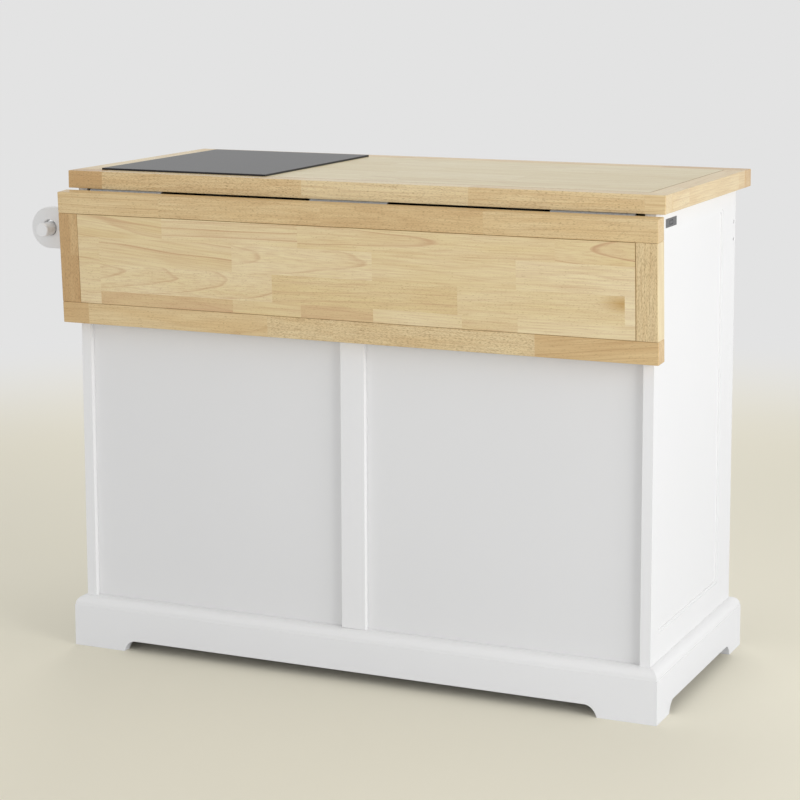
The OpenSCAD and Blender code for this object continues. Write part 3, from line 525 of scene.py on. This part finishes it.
glass, tree, shader = finish_of("black_satin_glass", Roughness=0.3, Specular_IOR_Level=0.2)
place = node(tree, "TexCoord").outputs["Object"]
etch = node(tree, "TexNoise", {"Vector": place, "Scale": 900.0, "Detail": 2.0}).outputs["Fac"]
haze = node(tree, "TexNoise", {"Vector": place, "Scale": 7.0, "Detail": 2.0}).outputs["Fac"]
tree.links.new(blend_of(tree, haze, "#2C2C2E", "#323235"), shader.inputs["Base Color"])
tree.links.new(spread_of(tree, etch, 0.3, 0.7, 0.28, 0.34), shader.inputs["Roughness"])
glass_arris = 0.0008
eased("glass_plate", glass_arris, glass, least=0.004, steps=3)

# ---- Leaf ----
# The folding leaf is glued up like the worktop: a field of staves in a frame of border strips.
# It hangs three degrees off plumb, with its lower edge at rest on the cabinet's back.

fold = next(j for j in frame["joints"] if j["name"] == "leaf_fold")
slide = next(j for j in frame["joints"] if j["name"] == "bar_left_slide")
lean = math.asin(slide["axis"][1])
# From the leaf's own frame, where it hangs plumb: X along it, Y up it and Z out of its inner face.
hang = (
    Matrix.Translation(fold["pos_m"])
    @ Matrix.Rotation(-lean, 4, "X")
    @ Matrix.Rotation(math.pi / 2, 4, "X")
)
plumb = hang.inverted()
upright = Matrix.Rotation(-math.pi / 2, 4, "Z") @ plumb

leaf_colours = ("#F0DFB5", "#E4CD97", "#D8B789", "#BF8E69", "#A07A45")
# A brown stain about 45 mm long and 18 mm high to each side of its middle.
stain = (hang @ Vector((-0.517, -0.142, -0.036)), (1 / 22, 0, 1 / 55), "#B98A35")
leaf_wood = sawn_wood("lacquered_rubberwood_leaf", leaf_colours, 0.43, 0.25, stain)
leaf_arris = 0.0008
leaf_field = eased("leaf_field", leaf_arris, leaf_wood, least=0.1)
heights = [(plumb @ v.co).y for v in leaf_field.data.vertices]
low, high = min(heights), max(heights)
# Staves of full width lie between a narrow one at the leaf's lower edge and a cut one at its upper.
narrow = low + 0.0245
rows = [
    (low, narrow, [-0.327, -0.225, -0.058, 0.082, 0.218, 0.491]),
    (narrow, narrow + stave_w, [-0.517, -0.217, 0.138, 0.491]),
    (narrow + stave_w, narrow + 2 * stave_w, [-0.325, -0.058, 0.217, 0.491]),
    (narrow + 2 * stave_w, high, [-0.395, 0.085, 0.358]),
]


def cut_from(tone, figure, depth, aside=0.0, rise=0.0, drift=0.0):
    """Where a block was sawn from its trunk: the pith's place under its face and beside its
    middle, how fast it sinks and strays along the block, and how clear its figure is."""
    sawn = {"depth": depth, "aside": aside, "rise": rise, "drift": drift}
    return {"tone": tone, "figure": figure, **sawn}


# Two brown blocks low on the leaf, a broad cathedral above them, a pink one in the far corner
# and narrow ones between. One block has a brown stain next to its joint.
chosen = {
    (0, 1): {"tone": 0.4, "figure": 0.2},
    (0, 2): {"tone": 0.25},
    (0, 3): {"tone": 0.8, "figure": 0.4},
    (0, 4): {"tone": 0.5},
    (0, 5): {"tone": 0.92, "figure": 0.4},
    (0, 6): {"tone": 0.25},
    (1, 0): {"tone": 0.0, "figure": 0.0},
    (1, 1): {"tone": 0.35, "figure": 0.1, "stain": 1.0},
    (1, 2): {"tone": 0.58, "figure": 0.5, "pores": 0.5},
    (1, 3): cut_from(0.25, 0.5, 0.093, -0.0135, -0.1),
    (1, 4): {"tone": 0.3, "figure": 0.0},
    (2, 0): {"tone": 0.1, "figure": 0.25},
    (2, 1): {"tone": 0.4, "figure": 0.15, "pores": 0.15},
    (2, 2): cut_from(0.2, 0.4, 0.0567, -0.0065, -0.066),
    (2, 3): cut_from(0.3, 0.75, 0.12, 0.0562, 0.0, -0.069),
    (3, 0): cut_from(0.45, 1.0, 0.0837, -0.006, 0.076),
    (3, 1): cut_from(0.4, 0.7, 0.0323, -0.003, -0.03),
    (3, 2): cut_from(0.25, 0.8, 0.024, 0.0, 0.0, 0.01),
    (3, 3): cut_from(0.45, 0.5, 0.06, 0.04, 0.0, -0.1),
}
lay_blocks(leaf_field, plumb, rows, chosen, groove_shade_wood)

# The strips are told apart by their middles' heights over the floor.
leaf_middle = 0.75
leaf_strips = separated(
    eased("leaf_rails", strip_arris, strip_wood),
    lambda at: end_of(at) or ("top" if at.z > leaf_middle else "bottom"),
)
tones = {
    (0, 0): {"tone": 0.5, "figure": 0.3, "pores": 0.6},
    (0, 1): {"tone": 0.7, "figure": 0.2, "pores": 0.7},
    (0, 2): {"tone": 0.58, "figure": 0.3, "pores": 0.7},
    (0, 3): {"tone": 0.45, "figure": 0.5, "pores": 0.4},
}
lay_strip(leaf_strips["top"], plumb, [-0.267, 0.039, 0.363], 0.6, tones)
speckled = {"tone": 0.35, "figure": 0.0, "pores": 1.0}
slanting = cut_from(0.72, 0.6, 0.05, 0.1, 0.0, 0.12)
tones = {
    (0, 0): slanting,
    (0, 1): speckled,
    (0, 2): speckled,
    (0, 3): {"tone": 0.5},
    (0, 4): {"tone": 0.85},
}
lay_strip(leaf_strips["bottom"], plumb, [-0.357, 0.02, 0.15, 0.52], 0.56, tones)
# The outer 1.5 mm of this end strip, its end face and arris towards the lamp beyond that end,
# is painted pale as a highlight.
heights = [(upright @ v.co).y for v in leaf_strips["left"].data.vertices]
low, high = min(heights), max(heights)
lit_edge_highlight = 0.0015
rows = [(low, high - lit_edge_highlight, []), (high - lit_edge_highlight, high, [])]
tones = {(0, 0): speckled, (1, 0): {"tone": 0.0, "figure": 0.0, "pores": 0.1}}
lay_blocks(leaf_strips["left"], upright, rows, tones)
tones = {(0, 0): {"tone": 1.1, "pores": 0.9}, (0, 1): {"tone": 0.95, "pores": 0.9}}
lay_strip(leaf_strips["right"], upright, [-0.115], 0.9, tones)

# ---- Blocks, runners, drawer boxes and pegs ----
# Planed pine and birch, left without finish, because nothing of it is seen or handled in use.
# Sticks run along their longest side, and each has its own tone.

pine_colours = ("#F0E2C2", "#E6D2A6", "#DABD8C", "#C29B66", "#B48E5E")
pine = sawn_wood("planed_pine", pine_colours, 0.6)


def run_grain(name, material, radius=0.0006):
    """Sticks that belong to one CAD node, each with its grain along its longest side."""
    sticks = eased(name, radius, material)
    into_edit(sticks, "FACE")
    bpy.ops.mesh.select_all(action="SELECT")
    bpy.ops.mesh.separate(type="LOOSE")
    bpy.ops.object.mode_set(mode="OBJECT")
    parts = list(bpy.context.selected_objects)
    for part in parts:
        corners = [Vector(c) for c in part.bound_box]
        low, high = Vector(map(min, *corners)), Vector(map(max, *corners))
        size, middle = high - low, (low + high) / 2
        long = max(range(3), key=lambda i: size[i])
        square = (level, crosswise, Matrix.Rotation(math.pi / 2, 4, "Y"))[long]
        spot = square @ middle
        stick = (tuple(round(c, 3) for c in middle), spot.y, spot.z, None)
        write_grain(part, square, lambda face: stick)
    for part in parts:
        part.select_set(True)
    bpy.context.view_layer.objects.active = sticks
    if len(parts) > 1:
        bpy.ops.object.join()
    return sticks


for name in "corner_blocks middle_foot top_blocks drawer_runners rail_pegs".split():
    run_grain(name, pine)
for side in ("left", "right"):
    run_grain(f"drawer_box_{side}", pine)

# ---- Doors and drawer fronts ----
# Doors with a loose panel in a frame of four sticks, and drawer fronts routed from one board, of
# the same fibreboard as the cabinet. Both are sprayed all round before they are hung or screwed on.

for number in range(1, 5):
    eased(f"door_{number}", board_arris, lacquer)
for side in ("left", "right"):
    eased(f"drawer_front_{side}", board_arris, lacquer)

# ---- Side rail and its brackets ----
# A round beech rod and two sawn brackets, primed and lacquered like the cabinet. The rod lies
# loose in the brackets' larger holes.

bracket_arris, rod_arris = 0.0015, 0.002
eased("rail_brackets", bracket_arris, lacquer, least=0.002, steps=3)
eased("side_rail", rod_arris, lacquer, least=0.001, steps=3)

# ---- Knobs ----
# Mushroom knobs, turned from zinc, nickel-plated and brushed. Each is held by a screw from behind
# the board, and its foot sits flat on the lacquer.

nickel, tree, shader = finish_of("brushed_nickel_plate", Metallic=1.0, Roughness=0.3)
place = node(tree, "TexCoord").outputs["Object"]
# The brushing runs round the knob in marks of about half a millimetre.
brushing = node(tree, "TexNoise", {"Vector": place, "Scale": 1800.0, "Detail": 2.0}).outputs["Fac"]
tree.links.new(blend_of(tree, brushing, "#B9B4AC", "#C6C2BA"), shader.inputs["Base Color"])
tree.links.new(spread_of(tree, brushing, 0.3, 0.7, 0.24, 0.38), shader.inputs["Roughness"])


def turned(name, stations, facets=48):
    """A turned piece: a disc drawn out along Z through pairs of height and radius."""
    height, radius = stations[0]
    bpy.ops.object.select_all(action="DESELECT")
    bpy.ops.mesh.primitive_circle_add(
        vertices=facets, radius=radius, fill_type="NGON", location=(0, 0, height)
    )
    piece = bpy.context.object
    piece.name = name
    bpy.ops.object.transform_apply(location=True, rotation=False, scale=False)
    bpy.ops.object.mode_set(mode="EDIT")
    bpy.ops.mesh.select_mode(type="FACE")
    bpy.ops.mesh.select_all(action="SELECT")
    for upper, wider in stations[1:]:
        bpy.ops.mesh.extrude_region_move(TRANSFORM_OT_translate={"value": (0, 0, upper - height)})
        share = wider / radius
        bpy.ops.transform.resize(value=(share, share, 1), center_override=(0, 0, upper))
        height, radius = upper, wider
    bpy.ops.mesh.select_all(action="SELECT")
    bpy.ops.mesh.normals_make_consistent(inside=False)
    out_of_edit(35)
    return piece


# Foot, hollow neck, then the head with a fine groove near its rim, in millimetres.
knob_shape = (
    (0, 8.8), (1.2, 9), (1.9, 8.7), (2.8, 7.4), (4, 6.5), (6, 5.95), (9.5, 5.9), (12, 6.5),
    (13.8, 8.8), (15, 11.6), (16.6, 13.4), (18.4, 14), (20, 13.7), (21.2, 12.7), (21.4, 11.9),
    (21.9, 11.4), (22.8, 10), (23.9, 7), (24.6, 4), (24.95, 1),
)
knob = turned("knob", [(height / 1000, radius / 1000) for height, radius in knob_shape])
facing = Matrix.Rotation(math.pi / 2, 4, "X")
for name in ["drawer_knob_left", "drawer_knob_right"] + [f"door_{n}_knob" for n in range(1, 5)]:
    low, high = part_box(name)
    copy = bpy.data.objects.new(name + "_turned", knob.data.copy())
    bpy.context.scene.collection.objects.link(copy)
    seat = ((low.x + high.x) / 2, high.y, (low.z + high.z) / 2)
    copy.data.transform(Matrix.Translation(seat) @ facing)
    stands_for(copy, name, nickel)
bpy.data.objects.remove(knob)

# ---- Hinges, screws and other hardware ----
# Stamped and rolled steel with a zinc plate that has dulled a little, and dark grey powder coat on
# the parts that carry the leaf. Plating leaves a faint cloudy spangle, powder coat a fine pebble.

zinc, tree, shader = finish_of("zinc_plate", Metallic=1.0, Roughness=0.35)
place = node(tree, "TexCoord").outputs["Object"]
spangle = node(tree, "TexVoronoi", {"Vector": place, "Scale": 260.0}).outputs["Distance"]
tree.links.new(blend_of(tree, spangle, "#A6A8AB", "#929498"), shader.inputs["Base Color"])
tree.links.new(spread_of(tree, spangle, 0.0, 0.8, 0.28, 0.42), shader.inputs["Roughness"])

coat, tree, shader = finish_of("grey_powder_coat", Roughness=0.5, IOR=1.5)
place = node(tree, "TexCoord").outputs["Object"]
pebble = node(tree, "TexNoise", {"Vector": place, "Scale": 1400.0, "Detail": 2.0}).outputs["Fac"]
tree.links.new(blend_of(tree, pebble, "#5E5F61", "#6B6C6E"), shader.inputs["Base Color"])
tree.links.new(spread_of(tree, pebble, 0.3, 0.7, 0.46, 0.56), shader.inputs["Roughness"])
bump = node(tree, "Bump", {"Strength": 0.4, "Distance": 0.0001, "Height": pebble})
tree.links.new(bump.outputs["Normal"], shader.inputs["Normal"])

# The end caps and pads are moulded, and keep the fine, even grain of their mould.
plastic, tree, shader = finish_of("moulded_grey_plastic", Roughness=0.45, IOR=1.49)
place = node(tree, "TexCoord").outputs["Object"]
grain = node(tree, "TexNoise", {"Vector": place, "Scale": 2200.0, "Detail": 2.0}).outputs["Fac"]
tree.links.new(blend_of(tree, grain, "#606163", "#68696B"), shader.inputs["Base Color"])
bump = node(tree, "Bump", {"Strength": 0.3, "Distance": 0.00005, "Height": grain})
tree.links.new(bump.outputs["Normal"], shader.inputs["Normal"])

plate_arris = 0.0006
for name in ["top_hinge_plates", "leaf_hinge_plates"]:
    eased(name, plate_arris, zinc, least=0.0002)

for name, slot, material in (
    ("leaf_hinge_pins", "zinc_steel", zinc),
    ("top_hinge_screws", "zinc_steel", zinc),
    ("leaf_hinge_screws", "zinc_steel", zinc),
    ("shelf_pins", "zinc_steel", zinc),
    ("door_hinge_plates", "zinc_steel", zinc),
    ("support_bar_left", "zinc_steel", zinc),
    ("support_bar_right", "zinc_steel", zinc),
    ("bar_guides", "grey_coated_steel", coat),
    ("bearer_bar", "grey_coated_steel", coat),
    ("door_catches", "grey_coated_steel", coat),
    ("bar_keepers", "grey_plastic", plastic),
    ("bearer_end_caps", "grey_plastic", plastic),
    *((f"door_{n}_hinges", "zinc_steel", zinc) for n in range(1, 5)),
):
    cad[name].data.materials.clear()
    cad[name].data.materials.append(material)
